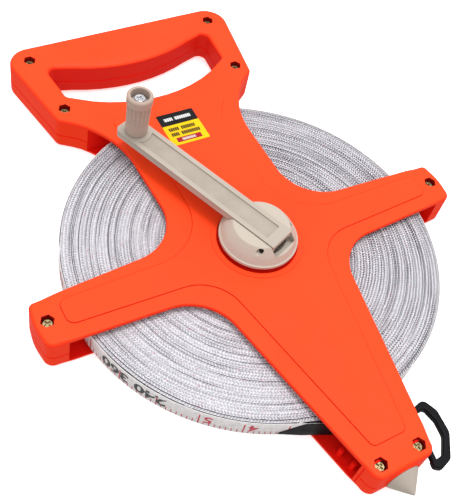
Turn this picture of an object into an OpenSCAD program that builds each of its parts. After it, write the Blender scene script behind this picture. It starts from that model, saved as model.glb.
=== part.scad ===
// Surveyor tape reel: an open cross-shaped frame of two plastic shells holds a
// wound fibreglass tape. The reel turns on +Z, the handle points along +Y, and
// the back face rests on z = 0.

/* [Frame] */
// Thickness of the frame, front face to back face
frame_t = 24; // [22:0.5:28]
// Height of the parting line between the two shells
parting_z = 10.2; // [9:0.1:11]
// Thickness of the front and back plates
plate_t = 2.4; // [2:0.1:2.8]
// Thickness of the side walls
wall_t = 2.4; // [1.8:0.1:2.8]
// Height of the raised panel on the front face
panel_h = 0.5; // [0.3:0.1:0.8]

/* [Tape] */
// Width of the tape
tape_w = 13; // [12:0.5:13]
// Outer radius of the full roll
roll_r = 118; // [100:0.5:118]
// Radius of the drum that the tape is wound on
drum_r = 24; // [24:0.5:30]

/* [Crank] */
// Direction of the crank arm, from +X
crank_angle = 111.5; // [100:0.5:125]
// Distance from the reel axis to the knob axis
knob_reach = 102; // [98:0.5:104]
// Width of the crank arm
arm_w = 18.4; // [17:0.1:18.6]
// Length of the knob
knob_l = 30; // [27:0.5:32]

/* [Fits] */
// Radial clearance of every turning fit
run_fit = 0.05; // [0.02:0.01:0.08]
// Radius of the reel's front journal
front_journal_r = 14; // [13.5:0.1:14.5]
// Radius of the reel's rear journal
rear_journal_r = 10; // [9.5:0.1:10.5]
// Radius of the crank arm's hinge pin
pin_r = 1.7; // [1.5:0.1:1.8]

/* [Hidden] */
$fn = 64;
eps = 0.01;
round_step = 9;             // degrees between points on a rounded corner

shell_red = [0.94, 0.28, 0.16];
grip_grey = [0.78, 0.74, 0.68];
zinc = [0.72, 0.68, 0.55];
steel = [0.7, 0.7, 0.72];
rubber_black = [0.08, 0.08, 0.09];
tape_white = [0.88, 0.87, 0.88];

front_z = frame_t;
plate_z = front_z - plate_t;            // underside of the front plate
mid_z = frame_t / 2;
tape_z = mid_z - tape_w / 2;            // lower edge of the tape
tip_x = 144.6;                          // half span of the two arms
leg_end_y = -160;
handle_top_y = 204.8;
closed_handle_y = 121;                  // side walls are closed beyond these lines
closed_arm_x = 130.5;
closed_leg_y = -148;

// Right half of the frame outline, from the leg end up: [x, y, corner radius]
right_side = [
    [19.3, leg_end_y, 6], [46.4, -23.5, 31], [142.6, -19.3, 6], [tip_x, -3, 36],
    [142.2, 10.8, 3.5], [42.3, 16.4, 31], [43.5, 114.2, 58], [73.8, 133.6, 5],
    [86.2, handle_top_y, 15]];
outline = both_sides(right_side);

// Right half of the raised panel on the front face
panel_right = [
    [11.6, -143, 4], [36.4, -14.6, 27], [127, -10.8, 5], [127, 6.2, 5],
    [27.4, 7, 36], [27.4, 100, 40], [49, 123, 6]];
panel = both_sides(panel_right);

// The hand opening: two arcs, joined by slanted sides with rounded corners
grip_low_y = 132;
grip_low_r = 100.7;
grip_high_y = 169;
grip_high_r = 123;
grip_half_w = 55;
grip_side = [[60.2, 152, 4], [62.6, 182.6, 5]];
grip_hole = concat(
    [for (x = [-grip_half_w + 10 : 10 : grip_half_w - 10])
        [x, grip_low_y + grip_low_r - sqrt(grip_low_r * grip_low_r - x * x), 0]],
    grip_side,
    [for (x = [grip_half_w - 10 : -10 : -grip_half_w + 10])
        [x, grip_high_y + grip_high_r - sqrt(grip_high_r * grip_high_r - x * x), 0]],
    [for (i = [1 : -1 : 0]) [-grip_side[i][0], grip_side[i][1], grip_side[i][2]]]);

// Case screws, on both sides of the frame
screw_spots = [for (s = [-1, 1], p = [[69.6, 192], [65.4, 142], [136.5, -3.5], [13, -152.5]])
    [s * p[0], p[1]]];
boss_r = 5.6;
screw_recess_r = 4.8;
screw_seat_z = front_z - 5;
screw_head_r = 2.8;
screw_head_h = 2;
thread_r = 1.5;
pilot_r = 1.3;
shank_hole_r = 1.9;

// Bearing of the reel in the two shells
hub_well_r = 25.3;
hub_well_z = front_z - 1.4;
hub_ring_r = 28.8;
hub_ring_h = 0.9;
front_collar_r = 18;
front_collar_z = 15.2;
rear_collar_r = 14;
rear_collar_z = 8;
rear_cap_r = 13;
rear_cap_t = 1.2;

// Drum, in two halves that meet at the middle of the tape
flange_r = 38;
flange_t = 2.1;
drum_back_z = plate_t + 0.6;
drum_front_z = plate_z - 0.6;
rear_web_z = rear_collar_z + 0.6;
front_web_t = 2.4;
drum_screw_spots = [90, 210, 330];
drum_screw_circle = 20.5;
anchor_angle = 30;
anchor_r = 1.6;

// Crank hub and hinge; "along" runs with the arm, from the reel axis
hub_r = 24.5;
hub_bulge_r = 21.5;
hub_top_r = 17.2;
hub_base_z = front_z + 3.3;
hub_rim_z = front_z + 5.2;
hub_top_z = front_z + 15.2;
slot_half_w = 9.5;
slot_low_z = front_z + 6.8;
slot_high_z = front_z + 10.8;
slot_lip_z = front_z + 10;
slot_step = -2.4;
slot_lip = -19.6;
hinge_along = -10.9;
hinge_z = front_z + 13;
pin_half_l = 14.3;
arm_low_z = front_z + 11;
arm_top_z = front_z + 16;
arm_start = -16;
arm_end = 112;
arm_wall = 1.9;
arm_top_t = 1.8;
arm_lip_t = 3.4;            // the end face over the open end of the channel
knob_base_z = arm_top_z + 0.3;
knob_top_z = knob_base_z + knob_l;
knob_well_z = knob_top_z - 5.5;
post_r = 4;
knob_seat_r = 10;

// The pull line: the tape leaves the roll at leave_angle and runs straight
tape_t = 0.6;
wrap_r = 118.6;
leave_angle = -114;
pull_angle = leave_angle + 90;
tip_along = 1;              // where the sleeve's outer cheek starts, from the leaving point
inner_tip_along = 11;       // the inner cheek starts where it clears the roll
sleeve_full = 15;           // where it reaches its full width
clasp_along = 70;
sleeve_low_z = 4.8;
sleeve_high_z = 19.2;
sleeve_t = 1.6;

// The end ring lies beside the leg: its bar is parallel to the leg's edge
ring_bar_x = 25.6;
ring_bar_y = -141;
ring_lean = -11.4;
ring_bar_r = 2;
ring_t = 5;
// Outline of the loop, across and along the bar: [across, along, corner radius]
loop_outer = [[-2, 8.6, 2.2], [9.6, 13.8, 4], [15.2, 5.4, 6], [16.4, -8.4, 9],
    [9.6, -22.6, 5], [2.2, -27, 4], [-2, -25, 2]];
loop_inner = [[2, 6, 2], [7.8, 6.6, 2], [10.6, -0.6, 6], [10.8, -8.6, 6],
    [5.4, -18.6, 2.5], [2, -18.6, 1]];

function both_sides(right) = concat(right,
    [for (i = [len(right) - 1 : -1 : 0]) [-right[i][0], right[i][1], right[i][2]]]);
function flat(p) = [p[0], p[1]];
function unit(v) = v / norm(v);
function cross_z(a, b) = a[0] * b[1] - a[1] * b[0];
function left_of(v) = [-v[1], v[0]];

// Points that round one corner b of a path, between a and c
function corner_points(a, b, c) =
    b[2] == 0 ? [flat(b)] :
    let(to_a = unit(flat(a) - flat(b)), to_c = unit(flat(c) - flat(b)),
        half = acos(to_a * to_c) / 2,
        centre = flat(b) + unit(to_a + to_c) * b[2] / sin(half),
        start = flat(b) + to_a * b[2] / tan(half) - centre,
        turn = sign(cross_z(-to_a, to_c)) * (180 - 2 * half),
        steps = ceil(abs(turn) / round_step), first = atan2(start[1], start[0]))
    [for (k = [0 : steps]) centre + b[2] * [cos(first + turn * k / steps),
        sin(first + turn * k / steps)]];
// A closed path of [x, y, radius] corners as a smooth polygon
function rounded(path) = [for (i = [0 : len(path) - 1])
    each corner_points(path[(i + len(path) - 1) % len(path)], path[i],
        path[(i + 1) % len(path)])];
// The same path moved inwards by d (outwards when d is negative)
function inset(path, d) = [for (i = [0 : len(path) - 1])
    let(b = path[i], into = unit(flat(b) - flat(path[(i + len(path) - 1) % len(path)])),
        out = unit(flat(path[(i + 1) % len(path)]) - flat(b)),
        n1 = left_of(into), n2 = left_of(out),
        p = flat(b) + (n1 + n2) * d / (1 + n1 * n2))
    [p[0], p[1], b[2] == 0 ? 0 : max(0.4, b[2] - sign(cross_z(into, out)) * d)]];

module rod(r, z0, z1) { translate([0, 0, z0]) cylinder(r = r, h = z1 - z0); }
module tube(r_out, r_in, z0, z1) {
    difference() { rod(r_out, z0, z1); rod(r_in, z0 - 1, z1 + 1); }
}
module slab(path, z0, z1) {
    translate([0, 0, z0]) linear_extrude(z1 - z0) polygon(rounded(path));
}
module block(low, high) { translate(low) cube(high - low); }
// A cross recess for a screwdriver, cut down from height z
module cross_recess(z, reach, depth) {
    for (a = [20, 110]) rotate([0, 0, a])
        block([-reach, -0.5, z - depth], [reach, 0.5, z + 1]);
}
module along_crank() { rotate([0, 0, crank_angle]) children(); }
module along_pull() {
    rotate([0, 0, pull_angle]) translate([0, -wrap_r, 0]) children();
}
module at_ring() { translate([ring_bar_x, ring_bar_y, mid_z]) rotate([0, 0, ring_lean]) children(); }

// Parts of the frame that have side walls: handle, arm tips and leg end
module closed_zone(z0, z1) {
    block([-100, closed_handle_y, z0], [100, 220, z1]);
    for (s = [-1, 1]) translate([s * (closed_arm_x + 20), 0, 0])
        block([-20, -40, z0], [20, 40, z1]);
    block([-40, -180, z0], [40, closed_leg_y, z1]);
}
// Walls across the openings, which face the roll
module end_walls(z0, z1) {
    intersection() {
        slab(outline, z0, z1);
        union() {
            for (s = [-1, 1]) translate([s * (closed_arm_x + 0.5 * wall_t), 0, 0])
                block([-wall_t / 2, -40, z0], [wall_t / 2, 40, z1]);
            block([-40, closed_leg_y - wall_t, z0], [40, closed_leg_y, z1]);
            block([-70, closed_handle_y, z0], [70, closed_handle_y + wall_t, z1]);
        }
    }
}
module side_walls(z0, z1) {
    intersection() {
        difference() {
            slab(outline, z0, z1);
            slab(inset(outline, wall_t), z0 - 1, z1 + 1);
        }
        closed_zone(z0, z1);
    }
    difference() {
        slab(inset(grip_hole, -wall_t), z0, z1);
        slab(grip_hole, z0 - 1, z1 + 1);
    }
    end_walls(z0, z1);
}
// Space for the spike's neck and flange between the two shells
module spike_seat() {
    translate([0, leg_end_y - 10, mid_z]) rotate([-90, 0, 0]) cylinder(r = 6.1, h = 22);
    block([-6.1, leg_end_y - 10, parting_z - eps], [6.1, closed_leg_y, mid_z]);
    block([-7.2, -156.6, mid_z - 7.2], [7.2, -154.2, mid_z + 7.2]);
}
// The rounded boss that carries the spike at the leg end
module spike_boss(z0, z1) {
    intersection() {
        translate([0, leg_end_y - 2.2, mid_z]) rotate([-90, 0, 0]) cylinder(r1 = 10.8, r2 = 11.9, h = 9);
        block([-20, leg_end_y - 5, z0], [20, closed_leg_y, z1]);
    }
}

module front_shell() {
    color(shell_red) difference() {
        union() {
            slab(outline, plate_z, front_z);
            slab(panel, front_z - eps, front_z + panel_h);
            rod(hub_ring_r, front_z - eps, front_z + hub_ring_h);
            side_walls(parting_z, plate_z + eps);
            spike_boss(parting_z, front_z);
            for (p = screw_spots) translate(p) rod(boss_r, parting_z, plate_z + eps);
            rod(front_collar_r, front_collar_z, plate_z + eps);
        }
        slab(grip_hole, 0, front_z + 1);
        rod(hub_well_r, hub_well_z, front_z + 2);
        rod(front_journal_r + run_fit, 0, front_z + 2);
        spike_seat();
        for (p = screw_spots) translate(p) {
            rod(shank_hole_r, 0, front_z);
            translate([0, 0, screw_seat_z]) cylinder(r = screw_recess_r, h = 9, $fn = 6);
        }
    }
}

module back_shell() {
    color(shell_red) difference() {
        union() {
            slab(outline, 0, plate_t);
            side_walls(plate_t - eps, parting_z);
            spike_boss(0, parting_z);
            for (p = screw_spots) translate(p) rod(boss_r - 1, plate_t - eps, parting_z);
            rod(rear_collar_r, plate_t - eps, rear_collar_z);
            // short guide pegs at both sides of the leg's mouth
            for (s = [-1, 1], p = [[20, -133], [18, -142.6]])
                translate([s * p[0], p[1]]) rod(1.6, plate_t - eps, 9);
        }
        slab(grip_hole, -1, front_z);
        rod(rear_cap_r + 0.05, -1, rear_cap_t);
        rod(rear_journal_r + run_fit, -1, front_z);
        spike_seat();
        for (p = screw_spots) translate(p) rod(pilot_r, 3.4, front_z);
    }
}

module case_screws() {
    color(zinc) for (p = screw_spots) translate(p) difference() {
        union() {
            rod(thread_r, 3.6, screw_seat_z + eps);
            rod(screw_head_r, screw_seat_z, screw_seat_z + screw_head_h);
        }
        cross_recess(screw_seat_z + screw_head_h, 2, 1.2);
    }
}

module rear_cap() {
    color(shell_red) rod(rear_cap_r, 0, rear_cap_t);
}

module ground_spike() {
    color(grip_grey) translate([0, leg_end_y - 2.3, mid_z]) rotate([90, 0, 0]) {
        rotate_extrude() polygon([[0, 10.4], [1, 10.2], [9.4, 0], [0, 0]]);
        translate([0, 0, -7.8]) cylinder(r = 6, h = 7.8 + eps);
        translate([0, 0, -7.6]) cylinder(r = 7.1, h = 1.8);
    }
}

module label() {
    color("gold") translate([0.6, 100, front_z + panel_h]) rotate([0, 0, -1])
        block([-13.5, -14, 0], [13.5, 14, 0.2]);
}

module anchor_slot() {
    rotate([0, 0, anchor_angle]) {
        translate([drum_r - 2.2, 0, tape_z - 0.1]) cylinder(r = anchor_r + 0.1, h = tape_w + 0.2);
        block([drum_r - 2, -anchor_r, tape_z - 0.1], [drum_r + 2, 0.4, tape_z + tape_w + 0.1]);
    }
}
module drum_front() {
    web_z = rear_web_z + 3.4;
    color(shell_red) difference() {
        union() {
            rod(drum_r, web_z, drum_front_z);
            rod(flange_r, drum_front_z - flange_t, drum_front_z);
        }
        rod(front_collar_r + 0.6, web_z + front_web_t, front_z);
        rod(front_journal_r + 0.1, 0, front_z);
        anchor_slot();
        for (a = drum_screw_spots) rotate([0, 0, a]) translate([drum_screw_circle, 0, 0])
            rod(1.1, 0, 17.2);
    }
}
module drum_rear() {
    color(shell_red) difference() {
        union() {
            rod(drum_r, drum_back_z, rear_web_z + 3.4);
            rod(flange_r, drum_back_z, drum_back_z + flange_t);
            rod(rear_journal_r, drum_back_z + 1.6, rear_web_z);
        }
        difference() {
            rod(rear_collar_r + 0.6, 0, rear_web_z);
            rod(rear_journal_r, drum_back_z + 1.6, rear_web_z + 1);
        }
        rod(2.1, 0, front_z);
        anchor_slot();
        for (a = drum_screw_spots) rotate([0, 0, a]) translate([drum_screw_circle, 0, 0]) {
            rod(1.4, 0, front_z);
            rod(2.7, 0, drum_back_z + 2.2);
        }
    }
}
module drum_screws() {
    color(steel) for (a = drum_screw_spots) rotate([0, 0, a])
        translate([drum_screw_circle, 0, 0]) {
            rod(1.2, drum_back_z + 2, 17);
            rod(2.5, drum_back_z + 0.4, drum_back_z + 2.2);
        }
}
module tape_anchor() {
    color(steel) rotate([0, 0, anchor_angle]) translate([drum_r - 2.2, 0, 0])
        rod(anchor_r, tape_z, tape_z + tape_w);
}
module tape_roll() {
    color(tape_white) tube(roll_r, drum_r + 0.1, tape_z, tape_z + tape_w);
}

module hub_screw() {
    color(steel) {
        rod(1.9, 3, 17);
        rod(4.6, 1.9, 3.8);
    }
}
module hub_washer() {
    color(steel) tube(7.5, 2.2, 3.8, drum_back_z + 1.6);
}
module crank_hub() {
    color(grip_grey) difference() {
        union() {
            rotate_extrude() polygon([[0, hub_base_z], [hub_r, hub_base_z], [hub_r, hub_rim_z],
                [hub_r - 0.9, hub_rim_z + 0.3], [hub_bulge_r, slot_lip_z],
                [hub_top_r + 0.6, hub_top_z - 0.3], [hub_top_r, hub_top_z], [0, hub_top_z]]);
            rod(front_journal_r, rear_web_z + 3.4, hub_base_z + eps);
        }
        along_crank() {
            block([slot_step, -slot_half_w, slot_high_z], [40, slot_half_w, hub_top_z + 1]);
            block([slot_lip, -slot_half_w, slot_low_z], [slot_step + eps, slot_half_w, hub_top_z + 1]);
            block([-40, -slot_half_w, slot_lip_z], [slot_step, slot_half_w, hub_top_z + 1]);
            translate([hinge_along, 30, hinge_z]) rotate([90, 0, 0])
                cylinder(r = pin_r + run_fit, h = 60);
        }
        rod(1.7, 0, 18);
    }
}
module arm_pin() {
    color(steel) along_crank() translate([hinge_along, pin_half_l, hinge_z])
        rotate([90, 0, 0]) cylinder(r = pin_r, h = 2 * pin_half_l);
}
module crank_arm() {
    half_w = arm_w / 2;
    cut = 2.6;
    panel_half = 6;
    color(grip_grey) along_crank() difference() {
        union() {
            difference() {
                slab([[arm_start, -half_w, 0], [arm_end - cut, -half_w, 0], [arm_end, cut - half_w, 0],
                    [arm_end, half_w - cut, 0], [arm_end - cut, half_w, 0], [arm_start, half_w, 0]],
                    arm_low_z, arm_top_z);
                block([arm_start + 1.4, arm_wall - half_w, arm_low_z - 1],
                    [arm_end - 3, half_w - arm_wall, arm_top_z - arm_top_t]);
                block([arm_start - 1, arm_wall - half_w, arm_low_z - 1],
                    [arm_start + 2, half_w - arm_wall, arm_top_z - arm_lip_t]);
            }
            // ears that widen the bore for the hinge pin
            for (s = [-1, 1]) translate([hinge_along, s * (half_w - 2), arm_low_z])
                block([-2.9, -1.6, 0], [2.9, 1.6, arm_top_z - arm_low_z - 0.5]);
            translate([knob_reach, 0, 0]) rod(post_r + 2, arm_low_z + 0.6, arm_top_z - 0.5);
            translate([knob_reach, 0, 0]) rod(post_r, arm_top_z - 1, knob_well_z + 0.1);
        }
        // recessed panel, rounded where it meets the knob's seat
        difference() {
            block([-8.6, -panel_half, arm_top_z - 1], [knob_reach - 8, panel_half, arm_top_z + 1]);
            translate([knob_reach, 0, 0]) rod(knob_seat_r, arm_top_z - 2, arm_top_z + 2);
        }
        translate([hinge_along, 20, hinge_z]) rotate([90, 0, 0])
            cylinder(r = pin_r + run_fit, h = 40);
        translate([knob_reach, 0, 0]) rod(pilot_r, arm_top_z - 1, knob_top_z);
    }
}

module knob() {
    flute_count = 18;
    flute_r = 0.75;
    color(grip_grey) along_crank() translate([knob_reach, 0, 0]) difference() {
        rotate_extrude() polygon([[post_r + run_fit, knob_base_z], [7, knob_base_z],
            [7.7, knob_top_z - 7], [8.2, knob_top_z - 5.6], [8.3, knob_top_z - 1],
            [7.6, knob_top_z], [5.9, knob_top_z], [5.7, knob_well_z],
            [post_r + run_fit, knob_well_z]]);
        for (a = [0 : 360 / flute_count : 359]) rotate([0, 0, a])
            translate([7.75, 0, 0]) rod(flute_r, knob_base_z + 10, knob_top_z - 6.4);
    }
}
module knob_washer() {
    color(steel) along_crank() translate([knob_reach, 0, 0])
        tube(5.2, 1.7, knob_well_z + 0.1, knob_well_z + 0.9);
}
module knob_screw() {
    head_z = knob_well_z + 0.9;
    color(steel) along_crank() translate([knob_reach, 0, 0]) difference() {
        union() {
            rod(1.4, arm_top_z - 0.5, head_z + eps);
            rod(3.2, head_z, head_z + 2.2);
        }
        cross_recess(head_z + 2.2, 2.1, 1.3);
    }
}

module tape_tail() {
    color(tape_white) along_pull()
        block([0.4, -tape_t / 2, tape_z], [clasp_along - 1, tape_t / 2, tape_z + tape_w]);
}
// Two cheeks, one on each face of the tape; the outer one tapers to the tip
module tail_sleeve() {
    cheek_t = (sleeve_t - tape_t) / 2 - 0.02;
    full = [[sleeve_full, sleeve_low_z], [clasp_along - 1, sleeve_low_z],
        [clasp_along - 1, sleeve_high_z], [sleeve_full, sleeve_high_z]];
    color(rubber_black) along_pull() {
        translate([0, -tape_t / 2 - 0.02, 0]) rotate([90, 0, 0]) linear_extrude(cheek_t)
            polygon(concat([[tip_along, mid_z - 5]], full, [[tip_along + 1, mid_z - 3.5]]));
        translate([0, tape_t / 2 + 0.02 + cheek_t, 0]) rotate([90, 0, 0]) linear_extrude(cheek_t)
            polygon(concat([[inner_tip_along, mid_z + 4], [inner_tip_along, mid_z - 4]], full));
    }
}
module sleeve_rivets() {
    color(steel) along_pull() for (z = [-4, 4]) translate([clasp_along - 6, 2, mid_z + z])
        rotate([90, 0, 0]) cylinder(r = 1.2, h = 4);
}
module end_clasp() {
    color(rubber_black) difference() {
        union() {
            along_pull() for (s = [-1, 1])
                translate([0, s * 1.35, 0]) block([clasp_along - 10, -0.5, mid_z - 6.5],
                    [clasp_along + 3.4, 0.5, mid_z + 6.5]);
            along_pull() block([clasp_along - 0.8, -1.8, mid_z - 6.5],
                [clasp_along + 3.4, 1.8, mid_z + 6.5]);
            along_pull() block([clasp_along + 3, -2.6, mid_z - 2.6],
                [clasp_along + 10.4, 2.6, mid_z + 2.6]);
            at_ring() rotate([90, 0, 0]) translate([0, 0, -4]) cylinder(r = 3.1, h = 8);
        }
        at_ring() rotate([90, 0, 0]) translate([0, 0, -10])
            cylinder(r = ring_bar_r + run_fit, h = 20);
        along_pull() for (z = [-4, 4]) translate([clasp_along - 6, 3, mid_z + z])
            rotate([90, 0, 0]) cylinder(r = 1.2, h = 6);
    }
}
module end_ring() {
    color(rubber_black) at_ring() {
        difference() {
            translate([0, 0, -ring_t / 2]) linear_extrude(ring_t)
                difference() { polygon(rounded(loop_outer)); polygon(rounded(loop_inner)); }
            block([-3, -19, -ring_t], [2.6, 6.4, ring_t]);
        }
        rotate([90, 0, 0]) translate([0, 0, -7]) cylinder(r = ring_bar_r, h = 27);
    }
}

front_shell();
back_shell();
case_screws();
rear_cap();
ground_spike();
label();
drum_front();
drum_rear();
drum_screws();
tape_anchor();
tape_roll();
crank_hub();
hub_screw();
hub_washer();
arm_pin();
crank_arm();
knob();
knob_screw();
knob_washer();
tape_tail();
tail_sleeve();
sleeve_rivets();
end_clasp();
end_ring();
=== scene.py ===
import math

import bpy
import numpy as np
from mathutils import Matrix, Vector
from mathutils.geometry import tessellate_polygon


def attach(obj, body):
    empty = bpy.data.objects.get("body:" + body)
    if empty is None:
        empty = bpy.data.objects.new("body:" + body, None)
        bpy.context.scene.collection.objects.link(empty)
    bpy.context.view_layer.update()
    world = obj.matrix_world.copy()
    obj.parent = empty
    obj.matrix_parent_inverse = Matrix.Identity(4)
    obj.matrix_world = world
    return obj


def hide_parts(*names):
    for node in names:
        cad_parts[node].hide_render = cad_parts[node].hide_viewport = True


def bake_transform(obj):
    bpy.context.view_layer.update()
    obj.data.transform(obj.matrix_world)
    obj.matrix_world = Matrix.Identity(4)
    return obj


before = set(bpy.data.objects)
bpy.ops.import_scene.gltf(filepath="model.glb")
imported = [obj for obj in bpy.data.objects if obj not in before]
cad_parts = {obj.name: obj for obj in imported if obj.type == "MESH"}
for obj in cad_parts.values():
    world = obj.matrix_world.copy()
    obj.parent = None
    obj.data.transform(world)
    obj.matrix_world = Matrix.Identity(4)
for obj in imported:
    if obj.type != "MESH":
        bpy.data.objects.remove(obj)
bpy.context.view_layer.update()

# ---------------------------------------------------------------- sizes, in mm
MM = 0.001
FRONT_Z = 24.0
PLATE = 2.4
PLATE_Z = FRONT_Z - PLATE
PARTING_Z = 10.2
MID_Z = FRONT_Z / 2
WALL = 2.4
PANEL_H = 0.5
LEG_END = -160.0
CLOSED_HANDLE_Y, CLOSED_ARM_X, CLOSED_LEG_Y = 121.0, 130.5, -148.0

# Right half of the frame outline, from the leg end up: x, y, corner radius
CORNERS = [
    (19.3, LEG_END, 6), (46.4, -23.5, 31), (142.6, -19.3, 6), (144.6, -3, 36),
    (142.2, 10.8, 3.5), (42.3, 16.4, 31), (43.5, 114.2, 58), (73.8, 133.6, 5),
    (86.2, 204.8, 15)]


def on_edge(first, axis, values):
    """Points on the straight edge that starts at the given corner, where x or y has each value."""
    a, b = CORNERS[first][:2], CORNERS[first + 1][:2]
    steps = [(value - a[axis]) / (b[axis] - a[axis]) for value in values]
    return [(a[0] + (b[0] - a[0]) * t, a[1] + (b[1] - a[1]) * t, 0) for t in steps]


# Points added on the straight edges, where the edge rounding changes
RIGHT_SIDE = (CORNERS[:1] + on_edge(0, 1, (-152, -149, -145)) + CORNERS[1:2]
              + on_edge(1, 0, (127, 130.5, 134)) + CORNERS[2:5] + on_edge(4, 0, (134, 130.5, 127))
              + CORNERS[5:])
PANEL_RIGHT = [
    (11.6, -143, 4), (36.4, -14.6, 27), (127, -10.8, 5), (127, 6.2, 5),
    (27.4, 7, 36), (27.4, 100, 40), (49, 123, 6)]
GRIP_LOW_Y, GRIP_LOW_R = 132.0, 100.7
GRIP_HIGH_Y, GRIP_HIGH_R = 169.0, 123.0
GRIP_SIDE = [(60.2, 152, 4), (62.6, 182.6, 5)]
SCREWS = [(s * x, y) for s in (-1, 1)
          for x, y in ((69.6, 192), (65.4, 142), (136.5, -3.5), (13, -152.5))]
LEG_PEGS = [(s * x, y) for s in (-1, 1) for x, y in ((20, -133), (18, -142.6))]
SCREW_SEAT_Z = FRONT_Z - 5
HEX_R = 3.9
BOSS_R = 5.6
HUB_WELL_R, HUB_WELL_Z, HUB_RING_R, HUB_RING_H = 25.3, FRONT_Z - 1.4, 28.8, 0.9
JOURNAL_R = 14.05
COLLAR_R, COLLAR_Z = 18.0, 15.2
HUB_SLOT_R, HUB_SLOT_TOP = 16.8, 35.6
ARM_FLOOR_LOW, ARM_FLOOR_HIGH = 38.4, 39.4      # on either side of the recess's floor


# ---------------------------------------------------------------- outlines
def both_sides(right):
    """The right half of an outline, and its mirror image in reverse order."""
    return list(right) + [(-x, y, r) for x, y, r in reversed(right)]


def arc_row(low, x_values, radius):
    """Points of a shallow arc that bulges downwards from (0, low)."""
    return [(x, low + radius - math.sqrt(radius ** 2 - x * x), 0) for x in x_values]


OUTLINE = both_sides(RIGHT_SIDE)
PANEL = both_sides(PANEL_RIGHT)
GRIP_HOLE = (arc_row(GRIP_LOW_Y, range(-45, 46, 10), GRIP_LOW_R) + GRIP_SIDE
             + arc_row(GRIP_HIGH_Y, range(45, -46, -10), GRIP_HIGH_R)
             + [(-x, y, r) for x, y, r in reversed(GRIP_SIDE)])


def inset(path, d):
    """The closed counter-clockwise path of (x, y, radius) corners moved inwards by d."""
    moved = []
    for i, corner in enumerate(path):
        b = Vector(corner[:2])
        into = (b - Vector(path[i - 1][:2])).normalized()
        out = (Vector(path[(i + 1) % len(path)][:2]) - b).normalized()
        n1, n2 = Vector((-into.y, into.x)), Vector((-out.y, out.x))
        p = b + (n1 + n2) * d / (1 + n1.dot(n2))
        side = math.copysign(1, into.x * out.y - into.y * out.x)
        moved.append((p.x, p.y, max(0.3, corner[2] - side * d) if corner[2] else 0))
    return moved


def rounded(path, step=6):
    """The path's points, with every corner turned into an arc."""
    points = []
    for i, corner in enumerate(path):
        b, radius = Vector(corner[:2]), corner[2]
        if not radius:
            points.append((b.x, b.y))
            continue
        to_a = (Vector(path[i - 1][:2]) - b).normalized()
        to_c = (Vector(path[(i + 1) % len(path)][:2]) - b).normalized()
        half = to_a.angle(to_c) / 2
        centre = b + (to_a + to_c).normalized() * radius / math.sin(half)
        start = b + to_a * radius / math.tan(half) - centre
        side = math.copysign(1, -to_a.x * to_c.y + to_a.y * to_c.x)
        turn = side * (math.pi - 2 * half)
        steps = max(2, math.ceil(math.degrees(abs(turn)) / step))
        first = math.atan2(start.y, start.x)
        for k in range(steps + 1):
            a = first + turn * k / steps
            points.append((centre.x + radius * math.cos(a), centre.y + radius * math.sin(a)))
    return points


def circle(x, y, r, count):
    """Points of a circle, counter-clockwise."""
    return [(x + r * math.cos(math.tau * k / count), y + r * math.sin(math.tau * k / count))
            for k in range(count)]


# ---------------------------------------------------------------- mesh building
class Shape:
    """Collects points (mm) and faces, and turns them into one object in metres."""

    def __init__(self):
        self.points, self.faces, self.paints = [], [], []

    def paint(self, index):
        """Faces added from here on take this one of the object's materials."""
        self.paints.append((len(self.faces), index))

    def loop(self, flat_points, z):
        """Adds (x, y) points at one height, and returns their indices."""
        return self.loop3([(x, y, z) for x, y in flat_points])

    def loop3(self, points):
        first = len(self.points)
        self.points += [tuple(p) for p in points]
        return list(range(first, len(self.points)))

    def strip(self, low, high, closed=True):
        """Quads between two loops; they face outwards for a counter-clockwise low loop."""
        count = len(low)
        for i in range(count if closed else count - 1):
            j = (i + 1) % count
            self.faces.append((low[i], low[j], high[j], high[i]))

    def strips(self, loops, closed=True):
        """A strip from each loop to the next."""
        for low, high in zip(loops, loops[1:]):
            self.strip(low, high, closed)

    def cap(self, outer, holes=(), up=True):
        """A flat face inside the outer loop and outside the hole loops."""
        rings = [outer] + list(holes)
        flat = [i for ring in rings for i in ring]
        for tri in tessellate_polygon([[Vector(self.points[i]) for i in ring] for ring in rings]):
            a, b, c = (Vector(self.points[flat[k]]) for k in tri)
            normal = (b - a).cross(c - a)
            if normal.length < 1e-9:
                continue
            face = [flat[k] for k in tri]
            self.faces.append(tuple(face if (normal.z > 0) == up else face[::-1]))

    def fan(self, ring, flip=False):
        """One face over a whole loop."""
        self.faces.append(tuple(ring[::-1] if flip else ring))

    def box(self, low, high):
        """A block between two opposite corners."""
        x0, y0, z0 = low
        x1, y1, z1 = high
        square = [(x0, y0), (x1, y0), (x1, y1), (x0, y1)]
        a, b = self.loop(square, z0), self.loop(square, z1)
        self.strip(a, b)
        self.fan(a, flip=True)
        self.fan(b)

    def build(self, name, *materials, sharp=35, weighted=True):
        """The finished object; edges bent by more than sharp degrees are drawn sharp."""
        mesh = bpy.data.meshes.new(name)
        mesh.from_pydata([(x * MM, y * MM, z * MM) for x, y, z in self.points], [], self.faces)
        for material in materials:
            mesh.materials.append(material)
        paint = np.zeros(len(self.faces), dtype=np.int32)
        for first, index in self.paints:
            paint[first:] = index
        mesh.polygons.foreach_set("material_index", paint)
        mesh.validate()
        mesh.shade_smooth()
        if sharp:
            mesh.set_sharp_from_angle(angle=math.radians(sharp))
        obj = bpy.data.objects.new(name, mesh)
        bpy.context.scene.collection.objects.link(obj)
        if weighted:
            modifier = obj.modifiers.new("flat faces stay flat", "WEIGHTED_NORMAL")
            modifier.keep_sharp = True
        return obj


def place(obj, body, slot, *nodes):
    """Put a piece on its body, and hide the CAD nodes that it stands for. The slot, its finish, is not
    used.
    """
    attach(obj, body)
    if nodes:
        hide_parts(*nodes)


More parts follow.
